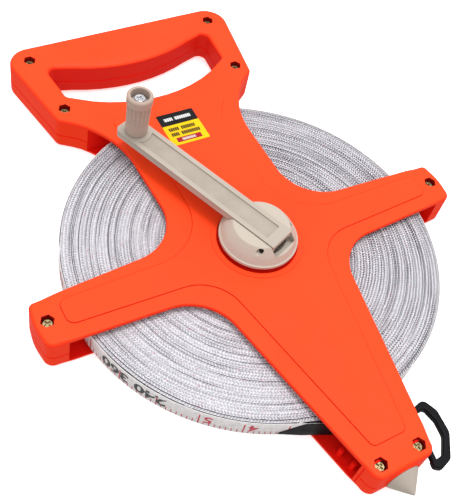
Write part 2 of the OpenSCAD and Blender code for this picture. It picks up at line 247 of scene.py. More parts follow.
# ---------------------------------------------------------------- materials
class Nodes:
    """A short way to write a node material."""

    def __init__(self, name):
        self.material = bpy.data.materials.new(name)
        self.material.use_nodes = True
        self.tree = self.material.node_tree
        self.shader = self.tree.nodes["Principled BSDF"]

    def set(self, **values):
        for key, value in values.items():
            self.shader.inputs[key.replace("_", " ")].default_value = value

    def add(self, kind, inputs=(), **properties):
        node = self.tree.nodes.new("ShaderNode" + kind)
        for key, value in properties.items():
            setattr(node, key, value)
        for key, value in dict(inputs).items():
            if isinstance(value, bpy.types.NodeSocket):
                self.tree.links.new(value, node.inputs[key])
            else:
                node.inputs[key].default_value = value
        return node

    def link(self, output, name):
        self.tree.links.new(output, self.shader.inputs[name])

    def math(self, operation, a, b=0.0, c=0.0):
        return self.add("Math", {0: a, 1: b, 2: c}, operation=operation).outputs[0]

    def times(self, first, *others):
        for other in others:
            first = self.math("MULTIPLY", first, other)
        return first

    def plus(self, first, *others):
        for other in others:
            first = self.math("ADD", first, other)
        return first

    def between(self, value, low, high):
        return self.times(self.math("GREATER_THAN", value, low), self.math("LESS_THAN", value, high))

    def scaled(self, value, low, high, to_low=0.0, to_high=1.0):
        """The range from low to high stretched to another one, and held at its ends."""
        return self.add("MapRange", {"Value": value, "From Min": low, "From Max": high,
                                     "To Min": to_low, "To Max": to_high}).outputs[0]

    def place(self):
        return self.add("TexCoord").outputs["Object"]

    def xyz(self, vector=None):
        return self.add("SeparateXYZ", {0: vector or self.place()}).outputs

    def polar(self):
        """Radius, angle and height about the reel's axis, in metres and radians."""
        xyz = self.xyz()
        x, y = xyz["X"], xyz["Y"]
        radius = self.math("SQRT", self.plus(self.times(x, x), self.times(y, y)))
        return radius, self.math("ARCTAN2", y, x), xyz["Z"]

    def joined(self, x, y):
        return self.add("CombineXYZ", {0: x, 1: y, 2: 0.0}).outputs[0]

    def noise(self, scale, detail=3.0, rough=0.5, vector=None):
        return self.add("TexNoise", {"Vector": vector or self.place(), "Scale": scale,
                                     "Detail": detail, "Roughness": rough}).outputs["Fac"]

    def ramp(self, factor, stops):
        node = self.add("ValToRGB", {"Fac": factor})
        while len(node.color_ramp.elements) < len(stops):
            node.color_ramp.elements.new(1.0)
        for element, (position, colour) in zip(node.color_ramp.elements, stops):
            element.position = position
            element.color = (*colour, 1.0)
        return node.outputs["Color"]

    def mix(self, factor, a, b):
        node = self.add("Mix", data_type="RGBA")
        for socket, value in ((node.inputs[0], factor), (node.inputs[6], a), (node.inputs[7], b)):
            if isinstance(value, bpy.types.NodeSocket):
                self.tree.links.new(value, socket)
            else:
                socket.default_value = value if isinstance(value, float) else (*value, 1.0)
        return node.outputs[2]

    def bump(self, height, distance):
        node = self.add("Bump", {"Height": height, "Distance": distance, "Strength": 1.0})
        self.link(node.outputs["Normal"], "Normal")

    def uneven_gloss(self, noise, low, high):
        self.link(self.scaled(noise, 0.3, 0.7, low, high), "Roughness")


def plastic(name, colour, shade, roughness, specular, over=None):
    """Moulded plastic: a slow drift in colour, a fine grain and slightly uneven gloss."""
    n = Nodes(name)
    n.set(Specular_IOR_Level=specular)
    skin = n.ramp(n.noise(14.0, 4.0, 0.6), [(0.32, shade), (0.68, colour)])
    n.link(over(n, skin) if over else skin, "Base Color")
    n.uneven_gloss(n.noise(60.0, 5.0, 0.65), roughness - 0.05, roughness + 0.07)
    n.bump(n.noise(900.0, 3.0, 0.6), 0.00003)
    return n.material


def painted_shade_on_slopes(n, skin):
    """Painted shade: a deeper orange where the surface rolls away from level."""
    up = n.math("ABSOLUTE", n.xyz(n.add("NewGeometry").outputs["Normal"])["Z"])
    return n.mix(n.scaled(up, 0.45, 0.99), (0.90, 0.030, 0.005), skin)


def painted_shade_in_slot(n, skin):
    """Painted shade: a dark colour inside the hub's slot, within its radius and below its top."""
    radius, _, z = n.polar()
    inside = n.times(n.math("LESS_THAN", radius, HUB_SLOT_R * MM),
                     n.math("LESS_THAN", z, HUB_SLOT_TOP * MM))
    return n.mix(inside, skin, (0.15, 0.12, 0.095))


def painted_shade_on_recess_floor(n, skin):
    """Painted shade: a darker, slightly uneven colour on the floor of the arm's long recess."""
    floor_shade = n.ramp(n.noise(90.0, 4.0, 0.6), [(0.3, (0.34, 0.295, 0.24)), (0.7, (0.40, 0.348, 0.288))])
    return n.mix(n.between(n.xyz()["Z"], ARM_FLOOR_LOW * MM, ARM_FLOOR_HIGH * MM), skin, floor_shade)


def step_shade_fading_up_the_neck(n, skin):
    """The step's painted shade up to the hub, and the shell's own colour beyond it."""
    y = n.plus(n.xyz()["Y"], n.times(n.noise(60.0), 0.01))
    return n.mix(n.scaled(y, 0.035, 0.075), skin, (0.94, 0.054, 0.006))


def metal(name, colour, roughness):
    """Plated steel: worn specks a quarter darker than the rest, and an uneven gloss."""
    n = Nodes(name)
    n.set(Metallic=1.0)
    worn = tuple(0.75 * c for c in colour)
    n.link(n.ramp(n.noise(700.0, 4.0, 0.6), [(0.35, worn), (0.6, colour)]), "Base Color")
    n.uneven_gloss(n.noise(300.0), roughness - 0.06, roughness + 0.1)
    n.bump(n.noise(1500.0, 4.0), 0.00002)
    return n.material


# The shell's orange, with painted shade where its surface rolls away from level
SHELL = plastic("moulded_orange", (0.95, 0.060, 0.0065), (0.94, 0.054, 0.006), 0.5, 0.15, painted_shade_on_slopes)
# Painted shade: a darker, redder copy of the orange for the upright sides
SIDE_SHADE = plastic("moulded_orange_side_painted_shade", (0.95, 0.040, 0.005), (0.93, 0.035, 0.004), 0.55, 0.10)
# Painted shade: a deep red copy for faces inside the frame, the seam's chamfer, the bosses, the pegs and
# the hub's well
INSIDE_SHADE = plastic("moulded_orange_inside_painted_shade", (0.92, 0.013, 0.006), (0.88, 0.010, 0.005), 0.65, 0.04)
# Painted shade: a near-black red copy for the screw recesses' walls and floors
RECESS_SHADE = plastic("moulded_orange_recess_painted_shade", (0.30, 0.008, 0.004), (0.22, 0.005, 0.003), 0.65, 0.05)
# Painted shade: a darker copy for the grip hole's walls and the upright band of its rounded edge
GRIP_SHADE = plastic("moulded_orange_grip_painted_shade", (0.80, 0.026, 0.012), (0.76, 0.022, 0.010), 0.55, 0.08)
# Painted shade: a dark copy for the raised panel's narrow step and the hub ring's outer step, fading out
# up the neck
STEP_SHADE = plastic("moulded_orange_step_painted_shade", (0.50, 0.010, 0.004), (0.49, 0.010, 0.004), 0.6, 0.05,
               step_shade_fading_up_the_neck)
# The shell's own orange and its five copies with painted shade, in the order of the face kinds below
SHELL_AND_SHADE_PAINTS = (SHELL, SIDE_SHADE, INSIDE_SHADE, RECESS_SHADE, GRIP_SHADE, STEP_SHADE)
TOP_FACE, SIDE_SHADE_FACE, INNER_SHADE_FACE, RECESS_SHADE_FACE, GRIP_SHADE_FACE, STEP_SHADE_FACE = range(6)
GREY = plastic("moulded_grey", (0.42, 0.365, 0.305), (0.385, 0.335, 0.278), 0.42, 0.32)
# The hub's grey, with painted shade inside its slot
HUB_GREY = plastic("hub_grey", (0.50, 0.435, 0.362), (0.47, 0.41, 0.34), 0.43, 0.32, painted_shade_in_slot)
# The arm's grey, with painted shade on the floor of its recess
ARM_GREY = plastic("arm_grey", (0.445, 0.388, 0.325), (0.41, 0.358, 0.298), 0.43, 0.32, painted_shade_on_recess_floor)
KNOB_GREY = plastic("knob_grey", (0.455, 0.345, 0.280), (0.41, 0.31, 0.25), 0.45, 0.26)
ZINC = metal("yellow_zinc", (0.40, 0.31, 0.16), 0.34)
STEEL = metal("plated_steel", (0.74, 0.74, 0.76), 0.24)
# A near-black steel for the arm's pin
DARK_STEEL = metal("near_black_steel", (0.03, 0.027, 0.025), 0.5)


# ---------------------------------------------------------------- frame shells
EDGE = 1.1                      # rounding of the frame's edges where the sides are open
SOFT_EDGE = 2.3                 # and round the closed handle, arm tips and leg end
SOFT_GRIP = 10.0                # width of the rounding along the grip bar's middle, over the hole
GRIP_END = 3.6                  # and at the bar's two ends
SEAM = 0.45                     # chamfer at the parting line


def ease(value, low, high):
    """A smooth rise from 0 at low to 1 at high."""
    t = min(1.0, max(0.0, (value - low) / (high - low)))
    return t * t * (3 - 2 * t)


def outer_edge(x, y):
    """Width and depth of the rounding at a point of the outline, wider where the sides are closed."""
    soft = max(ease(y, 117, 124), ease(abs(x), 127, 134), ease(-y, 145, 152))
    radius = EDGE + (SOFT_EDGE - EDGE) * soft
    return radius, radius


def grip_edge(x, y):
    """The same for the grip hole, where the bar's side is rounded much more."""
    soft = ease(y, 150, 166)
    wide = GRIP_END + (SOFT_GRIP - GRIP_END) * ease(56 - abs(x), 0, 22)
    return EDGE + (wide - EDGE) * soft, EDGE + (SOFT_EDGE - EDGE) * soft


def changing_edge(shape, path, sign, edge_at, front, steps=6):
    """Loops of a rounded edge from the plate's inner face up to its flat outer face."""
    reach = GRIP_END
    base, moved = rounded(path), rounded(inset(path, sign * reach))
    sizes = [edge_at(x, y) for x, y in base]
    loops = [[(x, y, PLATE_Z) for x, y in base]]
    for k in range(steps + 1):
        a = math.pi / 2 * k / steps
        along, down = (1 - math.cos(a)) / reach, 1 - math.sin(a)
        loops.append([(x + (u - x) * w * along, y + (v - y) * w * along, FRONT_Z - h * down)
                      for (x, y), (u, v), (w, h) in zip(base, moved, sizes)])
    if not front:
        loops = [[(x, y, FRONT_Z - z) for x, y, z in loop] for loop in loops][::-1]
    return [shape.loop3(loop) for loop in loops]


def edge_strips(shape, loops, side_first, side=SIDE_SHADE_FACE):
    """The rounded edge's faces: the upright band is at one end of the loops."""
    # The upright band takes a painted shade, the side's or the grip's; the rest keeps the top's colour
    shape.paint(side if side_first else TOP_FACE)
    shape.strips(loops[:2] if side_first else loops[:-1])
    shape.paint(TOP_FACE if side_first else side)
    shape.strips(loops[1:] if side_first else loops[-2:])


def clip_runs(points, axis, limit, sign):
    """The stretches of a closed path beyond a line, as open paths."""
    count = len(points)
    inside = [sign * (p[axis] - limit) > 0 for p in points]

    def crossing(a, b):
        t = (limit - a[axis]) / (b[axis] - a[axis])
        return (a[0] + (b[0] - a[0]) * t, a[1] + (b[1] - a[1]) * t)

    runs = []
    for i in range(count):
        if inside[i] and not inside[i - 1]:
            run = [crossing(points[i - 1], points[i])]
            j = i
            while inside[j % count]:
                run.append(points[j % count])
                j += 1
            run.append(crossing(points[(j - 1) % count], points[j % count]))
            runs.append(run)
    return runs


def offset_run(run, d):
    """An open path moved sideways, to its left, by d."""
    moved = []
    for i, p in enumerate(run):
        a, b = run[max(0, i - 1)], run[min(len(run) - 1, i + 1)]
        t = Vector((b[0] - a[0], b[1] - a[1])).normalized()
        moved.append((p[0] - t.y * d, p[1] + t.x * d))
    return moved


def sweep(shape, profile, loops, closed, side=SIDE_SHADE_FACE):
    """A closed profile, given as one loop for each of its points, run along a path."""
    for i in range(len(loops)):
        j = (i + 1) % len(loops)
        # Outer faces take a painted shade, the side's or the grip's; inner faces and the seam's chamfer
        # take the inside's painted shade
        shape.paint(side if profile[i][0] == 0 and profile[j][0] == 0 else INNER_SHADE_FACE)
        shape.strip(loops[i], loops[j], closed)
    if not closed:
        shape.fan([loop[0] for loop in loops])
        shape.fan([loop[-1] for loop in loops], flip=True)


def rounded_edge(d, z, radius, steps=5):
    """(inset, height) pairs of a quarter round that ends in a flat top at z."""
    return [(d + radius * (1 - math.cos(math.pi / 2 * k / steps)),
             z - radius + radius * math.sin(math.pi / 2 * k / steps)) for k in range(steps + 1)]


def path_loops(shape, path, pairs):
    """One loop of the rounded path for each (inset, height) pair."""
    return [shape.loop(rounded(inset(path, d) if d else path), z) for d, z in pairs]


def wall_profile(z0, z1, seam_low, seam_high):
    """(depth, height) corners of a wall, chamfered where it meets the other shell."""
    low = [(SEAM, z0), (0, z0 + SEAM)] if seam_low else [(0, z0)]
    high = [(0, z1 - SEAM), (SEAM, z1)] if seam_high else [(0, z1)]
    return low + high + [(WALL, z1), (WALL, z0)]


def shell_walls(shape, z0, z1, seam_low, seam_high):
    """Walls round the handle, the arm tips and the leg end, and round the grip hole."""
    outline = rounded(OUTLINE)
    profile = wall_profile(z0, z1, seam_low, seam_high)
    zones = [(1, CLOSED_HANDLE_Y, 1), (0, CLOSED_ARM_X, 1), (0, -CLOSED_ARM_X, -1),
             (1, CLOSED_LEG_Y, -1)]
    for axis, limit, sign in zones:
        for run in clip_runs(outline, axis, limit, sign):
            sweep(shape, profile, [shape.loop(offset_run(run, d), z) for d, z in profile], False)
            ends = sorted((run[0][1 - axis], run[-1][1 - axis]))
            span = [(ends[0] + 0.3, ends[1] - 0.3), (limit, limit + sign * WALL)]
            if axis == 0:
                span.reverse()
            (x0, x1), (y0, y1) = (sorted(s) for s in span)
            shape.box((x0, y0, z0), (x1, y1, z1))
    hole_profile = [(-d, z) for d, z in profile][::-1]
    sweep(shape, hole_profile, path_loops(shape, GRIP_HOLE, hole_profile), True, GRIP_SHADE_FACE)


def spike_boss(shape, first, last):
    """Part of the rounded boss that carries the spike, between two angles round its axis."""
    profile = [(LEG_END - 0.8, 6.1), (LEG_END - 0.8, 10.3), (LEG_END - 0.6, 10.65), (LEG_END - 0.2, 10.9),
               (LEG_END + 0.6, 11.1), (LEG_END + 6.8, 11.85)]
    steps = 40
    rings = []
    for y, r in profile:
        angles = [math.radians(first + (last - first) * k / steps) for k in range(steps + 1)]
        rings.append(shape.loop3([(r * math.cos(a), y, MID_Z + r * math.sin(a)) for a in angles]))
    for a, b in zip(rings, rings[1:]):
        shape.strip(b, a, False)


def lathe(shape, profile, x=0.0, y=0.0, count=96, flip=False):
    """A turned surface; the (radius, height) profile runs upwards on the outside."""
    rings = [shape.loop(circle(x, y, r, count), z) for r, z in profile]
    shape.strips(rings[::-1] if flip else rings)
    return rings


def front_shell():
    """The crank side: plate with its raised panel and hub ring, screw recesses and walls."""
    s = Shape()
    edge = changing_edge(s, OUTLINE, 1, outer_edge, True)
    edge_strips(s, edge, True)
    grip = changing_edge(s, GRIP_HOLE, -1, grip_edge, True)
    edge_strips(s, grip[::-1], False, GRIP_SHADE_FACE)
    s.paint(TOP_FACE)
    panel = path_loops(s, PANEL, [(0, FRONT_Z), (0.05, FRONT_Z + 0.25), (0.15, FRONT_Z + 0.42),
                                  (0.35, FRONT_Z + PANEL_H)])
    # The panel's step takes a painted shade
    s.paint(STEP_SHADE_FACE)
    s.strips(panel)
    recesses, bosses = [], []
    for x, y in SCREWS:
        rings = [s.loop(circle(x, y, r, 6), z) for r, z in
                 ((HEX_R, SCREW_SEAT_Z), (HEX_R, FRONT_Z - 0.35), (HEX_R + 0.12, FRONT_Z - 0.12),
                  (HEX_R + 0.35, FRONT_Z))]
        # The screw recesses take a deep painted shade, the bosses under them the inside's painted shade
        s.paint(RECESS_SHADE_FACE)
        s.strips(rings[::-1])
        s.cap(rings[0])
        s.paint(INNER_SHADE_FACE)
        recesses.append(rings[-1])
        boss = [s.loop(circle(x, y, BOSS_R, 32), z) for z in (PARTING_Z, PLATE_Z)]
        s.strips(boss)
        s.cap(boss[0], up=False)
        bosses.append(boss[1])
    s.paint(TOP_FACE)
    s.cap(edge[-1], [grip[-1], panel[0]] + recesses)
    ring = [s.loop(circle(0, 0, r, 96), z) for r, z in
            ((HUB_RING_R, FRONT_Z + PANEL_H), (HUB_RING_R - 0.05, FRONT_Z + 0.72),
             (HUB_RING_R - 0.3, FRONT_Z + HUB_RING_H), (HUB_WELL_R + 0.4, FRONT_Z + HUB_RING_H),
             (HUB_WELL_R + 0.08, FRONT_Z + 0.75), (HUB_WELL_R, FRONT_Z + 0.5),
             (HUB_WELL_R, HUB_WELL_Z + 0.3), (HUB_WELL_R - 0.3, HUB_WELL_Z),
             (JOURNAL_R, HUB_WELL_Z), (JOURNAL_R, COLLAR_Z), (COLLAR_R, COLLAR_Z),
             (COLLAR_R, PLATE_Z))]
    s.strips(ring[1:6])
    s.cap(panel[-1], [ring[0]])
    # Painted shade on the ring's outer step, and the inside's painted shade down the hub's well
    s.paint(STEP_SHADE_FACE)
    s.strips(ring[:2])
    s.paint(INNER_SHADE_FACE)
    s.strips(ring[5:])
    s.cap(edge[0], [grip[0], ring[-1]] + bosses, up=False)
    shell_walls(s, PARTING_Z, PLATE_Z, True, False)
    # The spike's boss takes the side's painted shade
    s.paint(SIDE_SHADE_FACE)
    spike_boss(s, -9.5, 189.5)
    return s.build("front_shell_moulding", *SHELL_AND_SHADE_PAINTS)


def back_shell():
    """The plain side: plate with the cap's seat, the leg's pegs, screw posts and walls."""
    s = Shape()
    edge = changing_edge(s, OUTLINE, 1, outer_edge, False)
    edge_strips(s, edge, False)
    grip = changing_edge(s, GRIP_HOLE, -1, grip_edge, False)
    edge_strips(s, grip[::-1], True, GRIP_SHADE_FACE)
    # The inside's painted shade on the cap's seat and the leg's pegs
    s.paint(INNER_SHADE_FACE)
    cap_seat = lathe(s, [(13.35, 0), (13.05, 0.3), (13.05, 1.2), (10.05, 1.2), (10.05, PLATE + 5.6),
                         (14, PLATE + 5.6), (14, PLATE)], flip=True)
    for x, y in LEG_PEGS:
        lathe(s, [(1.7, PLATE), (1.6, PLATE + 0.3), (1.6, 8.5), (1.3, 8.9), (0.7, 9.0), (0.05, 9.05)],
              x, y, 24)
    s.cap(edge[-1], [grip[-1], cap_seat[-1]])
    s.paint(TOP_FACE)
    s.cap(edge[0], [grip[0], cap_seat[0]], up=False)
    shell_walls(s, PLATE, PARTING_Z, False, True)
    # The inside's painted shade on the screw posts
    s.paint(INNER_SHADE_FACE)
    for x, y in SCREWS:
        lathe(s, [(BOSS_R - 1, PLATE), (BOSS_R - 1, PARTING_Z), (1.4, PARTING_Z)], x, y, 32)
    # The spike's boss takes the side's painted shade
    s.paint(SIDE_SHADE_FACE)
    spike_boss(s, 189.5, 350.5)
    return s.build("back_shell_moulding", *SHELL_AND_SHADE_PAINTS)


for made, node in ((front_shell(), "front_shell"), (back_shell(), "back_shell")):
    place(made, "frame", "shell_orange", node)


# ---------------------------------------------------------------- CAD nodes kept, with soft edges
def soften(node, material, width, segments=3):
    """Give a CAD node its material and round its sharp edges, by a width in mm."""
    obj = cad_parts[node]
    obj.data.materials.clear()
    obj.data.materials.append(material)
    weld = obj.modifiers.new("join split edges", "WELD")
    weld.merge_threshold = 0.000001
    flat = obj.modifiers.new("merge flat faces", "DECIMATE")
    flat.decimate_type = "DISSOLVE"
    flat.angle_limit = math.radians(1.0)
    bevel = obj.modifiers.new("soft edges", "BEVEL")
    bevel.width = width * MM
    bevel.segments = segments
    bevel.limit_method = "ANGLE"
    bevel.angle_limit = math.radians(32)
    bevel.use_clamp_overlap = False
    bevel.miter_outer = "MITER_ARC"
    normals = obj.modifiers.new("flat faces stay flat", "WEIGHTED_NORMAL")
    normals.keep_sharp = True


soften("crank_hub", HUB_GREY, 0.22)
soften("crank_arm", ARM_GREY, 0.28)
soften("knob", KNOB_GREY, 0.18, 2)
soften("case_screws", ZINC, 0.2, 2)
soften("rear_cap", SHELL, 0.3, 2)
for hidden in ("drum_front", "drum_rear"):
    soften(hidden, SHELL, 0.3, 2)
for bright in ("drum_screws", "tape_anchor", "hub_screw", "hub_washer", "knob_screw", "knob_washer",
               "sleeve_rivets"):
    soften(bright, STEEL, 0.15, 2)
soften("arm_pin", DARK_STEEL, 0.15, 2)


def spike():
    """The cone, with a blunt tip, and the stem behind it that the shells hold."""
    s = Shape()
    profile = [(-154.7, 0.05), (-154.7, 7.1), (-156.4, 7.1), (-156.4, 6.0), (-160.85, 6.0),
               (-160.9, 9.9), (-161.2, 10.15), (-161.6, 10.0), (-171.9, 1.05), (-172.4, 0.55),
               (-172.6, 0.05)]
    rings = [s.loop3([(r * math.cos(math.tau * k / 64), y, MID_Z + r * math.sin(math.tau * k / 64))
                      for k in range(64)]) for y, r in profile]
    s.strips(rings[::-1])
    return s.build("ground_spike_cone", GREY)


place(spike(), "frame", "grip_grey", "ground_spike")


# ---------------------------------------------------------------- the tape
TAPE_W = 13.0
TAPE_LOW, TAPE_HIGH = MID_Z - TAPE_W / 2, MID_Z + TAPE_W / 2
TAPE_T = TURN = 0.42
ROLL_R, DRUM_R = 117.9, 24.15
WRAP_R, LEAVE = 118.6, math.radians(-114)    # the outermost turn, and where the tape leaves it
TICKS, TICKS_IN_INCH = 240, 8   # ticks round the outermost turn
PULL_TURN = Matrix.Rotation(LEAVE + math.pi / 2, 4, "Z")
PULL = PULL_TURN @ Matrix.Translation((0, -WRAP_R, 0))


def tape_edge_material():
    """Edges of the wound strip: white coating with rows of dark thread ends and a few red ones."""
    n = Nodes("tape_edges")
    n.set(Roughness=0.62, Specular_IOR_Level=0.3)
    radius, angle, _ = n.polar()
    row_pitch, thread_pitch = 0.0019, 0.0018
    wander = n.plus(n.noise(210.0, 2.0, 0.5), -0.5)
    row = n.plus(n.math("DIVIDE", radius, row_pitch), n.times(wander, 0.5))
    whole, part = n.math("FLOOR", row), n.math("FRACT", row)
    chance = n.add("TexWhiteNoise", {"W": whole}, noise_dimensions="1D").outputs["Value"]
    around = n.math("DIVIDE", n.times(angle, whole, row_pitch), thread_pitch)
    # Threads lean one way in one row and the other way in the next
    lean = n.plus(n.times(n.math("MODULO", whole, 2.0), 2.0), -1.0)
    from_middle = n.plus(part, -0.5)
    along = n.plus(around, n.times(chance, 7.0), n.times(wander, 1.2), n.times(from_middle, lean, 0.75))
    thread = n.plus(n.math("COSINE", n.times(from_middle, math.tau)),
                    n.math("SINE", n.times(along, math.tau)))
    dots = n.scaled(n.plus(thread, n.times(n.noise(1100.0, 2.0, 0.6), 1.2)), 0.45, 1.05)
    # Long bands, which differ from one stretch of the winding to the next
    bands = n.joined(radius, n.times(angle, 0.012))
    strength = n.scaled(n.noise(170.0, 3.0, 0.6, bands), 0.40, 0.60, 0.62, 1.0)
    # The threads are fainter round the roll's -X -Y side
    facing = n.math("SINE", n.plus(angle, math.radians(60)))
    clear = n.scaled(facing, -1.0, 0.4, 0.5, 1.0)
    white = n.ramp(n.noise(520.0, 3.0, 0.65), [(0.32, (0.64, 0.625, 0.66)), (0.62, (0.80, 0.79, 0.825))])
    inked = n.mix(n.times(dots, strength, clear), white, (0.05, 0.045, 0.06))
    # Painted shade: dark lines where one wound group stands a little off the next
    lines = n.joined(n.times(whole, 3.7), n.times(angle, 0.9))
    open_here = n.scaled(n.noise(1.0, 1.0, 0.5, lines), 0.49, 0.57)
    gap_shade = n.times(n.scaled(part, 0.30, 0.16), open_here)
    inked = n.mix(n.times(gap_shade, 0.92), inked, (0.03, 0.028, 0.034))
    speck = n.noise(1300.0, 1.0, 0.5, n.joined(radius, n.times(angle, 0.02)))
    n.link(n.mix(n.times(n.scaled(speck, 0.68, 0.74), 0.7), inked, (0.50, 0.07, 0.10)), "Base Color")
    n.bump(thread, 0.00009)
    return n.material


def tape_face_material():
    """The printed side: a woven white strip with red ticks along its lower edge."""
    n = Nodes("tape_print")
    n.set(Roughness=0.5, Specular_IOR_Level=0.35)
    _, angle, z = n.polar()
    short_top, long_top = (TAPE_LOW + 3.7) * MM, (TAPE_LOW + 10.3) * MM
    step = n.times(n.plus(angle, math.radians(135)), TICKS / math.tau)
    short = n.times(n.math("LESS_THAN", n.math("FRACT", step), 0.20), n.math("LESS_THAN", z, short_top))
    inch = n.math("FRACT", n.math("DIVIDE", step, TICKS_IN_INCH))
    long = n.times(n.math("LESS_THAN", inch, 0.034), n.math("LESS_THAN", z, long_top))
    weave = n.times(n.math("SINE", n.times(angle, 560.0)), n.math("SINE", n.times(z, 5200.0)))
    white = n.ramp(n.plus(n.times(weave, 0.10), n.noise(420.0, 3.0, 0.6)),
                   [(0.3, (0.62, 0.59, 0.58)), (0.62, (0.76, 0.74, 0.73))])
    n.link(n.mix(n.math("MAXIMUM", short, long), white, (0.50, 0.035, 0.06)), "Base Color")
    n.bump(weave, 0.00006)
    return n.material


TAPE_EDGE = tape_edge_material()
TAPE_FACE = tape_face_material()


def grid_object(name, grid, material):
    """A closed band from points[loop][step] in mm; every loop goes round the reel's axis."""
    loops, steps = grid.shape[:2]
    index = np.arange(loops * steps).reshape(loops, steps)
    low, high = index[:-1], index[1:]
    faces = np.stack([low, np.roll(low, -1, 1), np.roll(high, -1, 1), high], -1).reshape(-1, 4)
    mesh = bpy.data.meshes.new(name)
    mesh.from_pydata((grid.reshape(-1, 3) * MM).tolist(), [], faces[:, ::-1].tolist())
    mesh.shade_smooth()
    mesh.set_sharp_from_angle(angle=math.radians(40))
    mesh.materials.append(material)
    obj = bpy.data.objects.new(name, mesh)
    bpy.context.scene.collection.objects.link(obj)
    return obj


def turn_profile(rng, turn, steps):
    """Radii and drops from the nominal edge, round the reel, for three points of each turn."""
    count = int((ROLL_R - DRUM_R) / turn)
    angle = np.linspace(0, math.tau, steps, endpoint=False)
    rows, left, height, swing, phase = [], 0, 0.0, 0.1, 0.0
    for i in range(count):
        if left == 0:                           # a new group of turns, pushed up or down together
            left = int(rng.integers(4, 19))
            height, swing, phase = rng.uniform(0.05, 0.75), rng.uniform(0.02, 0.2), rng.uniform(0, 6)
        left -= 1
        wobble = 0.28 * np.sin(2 * angle + 0.03 * i) * min(1, i / 40) * min(1, (count - i) / 12)
        drop = height + swing * (1 + np.sin(angle + phase)) + rng.uniform(0, 0.12)
        opening = 0.05 + (np.clip(np.sin(1.3 * angle + 2 * phase), 0, 1) * 0.34 if left == 0 else 0)
        deep = drop + 0.3 + 4.0 * (opening - 0.05)
        r = DRUM_R + i * turn + wobble
        rows += [(r + 0.02, drop), (r + turn - opening - 0.02, drop + 0.02),
                 (r + turn - 0.5 * opening, deep)]
    return angle, rows


def tape_turns():
    """Every turn's upper edge on its own, and a coarser underside, as one closed ring."""
    rng = np.random.default_rng(11)
    steps = 240
    angle, rows = turn_profile(rng, TURN, steps)
    spokes = np.stack([np.cos(angle), np.sin(angle)], -1)

    def band(r, z):
        r = np.broadcast_to(r, angle.shape)[:, None] * spokes
        return np.concatenate([r, np.broadcast_to(z, angle.shape)[:, None]], 1)

    top = [band(r, TAPE_HIGH - drop) for r, drop in rows]
    _, under = turn_profile(rng, TURN * 3, steps)
    rim = [band(ROLL_R, TAPE_HIGH - 0.4), band(ROLL_R, TAPE_LOW + 0.4)]
    bottom = [band(r, TAPE_LOW + drop) for r, drop in under][::-1]
    bore = [band(DRUM_R, TAPE_LOW + 0.6), band(DRUM_R, TAPE_HIGH - 0.6)]
    return grid_object("tape_turns", np.array(top + rim + bottom + bore), TAPE_EDGE)


place(tape_turns(), "reel", "tape_strip", "tape_roll")


def strap(shape, centre, normals, half_t, edge=0.12):
    """A strip of tape that stands on edge along a line of (x, y) points."""
    outline = [(-half_t, TAPE_LOW + edge), (-half_t + edge, TAPE_LOW), (half_t - edge, TAPE_LOW),
               (half_t, TAPE_LOW + edge), (half_t, TAPE_HIGH - edge), (half_t - edge, TAPE_HIGH),
               (-half_t + edge, TAPE_HIGH), (-half_t, TAPE_HIGH - edge)]
    rings = [shape.loop3([(p[0] + q[0] * d, p[1] + q[1] * d, z) for d, z in outline])
             for p, q in zip(centre, normals)]
    for a, b in zip(rings, rings[1:]):
        shape.strip(b, a)
    shape.fan(rings[0])
    shape.fan(rings[-1], flip=True)


def loose_radius(back):
    """Radius of the outermost turn; back goes from 0 at the leaving point to 2 pi."""
    bulge = 0.45 * math.exp(-((back - 0.75) / 0.45) ** 2)
    return WRAP_R - 0.30 * back / math.tau + bulge


def outer_turn(steps=288):
    """The outermost turn, a little loose, which ends where the tape leaves the roll."""
    s = Shape()
    backs = [math.tau * 0.985 * (1 - k / steps) for k in range(steps + 1)]
    spokes = [(math.cos(LEAVE - b), math.sin(LEAVE - b)) for b in backs]
    centre = [(c * loose_radius(b), d * loose_radius(b)) for b, (c, d) in zip(backs, spokes)]
    strap(s, centre, spokes, TAPE_T / 2)
    return s.build("tape_outer_turn", TAPE_FACE, sharp=50, weighted=False)


place(outer_turn(), "frame", "tape_strip")


def text_mesh(text, size, bold):
    """The flat mesh of a numeral, as points and faces, centred on the origin."""
    curve = bpy.data.curves.new("numeral", "FONT")
    curve.body, curve.size, curve.resolution_u, curve.offset = text, size, 3, bold
    curve.align_x, curve.align_y = "CENTER", "CENTER"
    obj = bpy.data.objects.new("numeral", curve)
    mesh = obj.to_mesh()
    points = [tuple(v.co[:2]) for v in mesh.vertices]
    faces = [tuple(p.vertices) for p in mesh.polygons]
    obj.to_mesh_clear()
    bpy.data.objects.remove(obj)
    bpy.data.curves.remove(curve)
    return points, faces


def ink(name, colour):
    """Printing ink with small paler specks, where it is worn."""
    n = Nodes(name)
    n.set(Roughness=0.55, Specular_IOR_Level=0.3)
    worn = n.noise(1800.0, 3.0, 0.7)
    n.link(n.ramp(worn, [(0.3, colour), (0.75, tuple(0.10 + 0.90 * c for c in colour))]), "Base Color")
    return n.material


def printed_numerals(name, material, spots, size, stretch, bold):
    """Numerals laid on the outermost turn; like the wound tape, they stand upside down."""
    s = Shape()
    for back, text, z in spots:
        points, faces = text_mesh(text, size, bold)
        first = len(s.points)
        for x, y in points:
            b = back + x * stretch / WRAP_R
            r = loose_radius(b) + TAPE_T / 2 + 0.03
            s.points.append((r * math.cos(LEAVE - b), r * math.sin(LEAVE - b), z - y))
        s.faces += [tuple(first + i for i in face) for face in faces]
    place(s.build(name, material, sharp=0, weighted=False), "frame", "tape_strip")


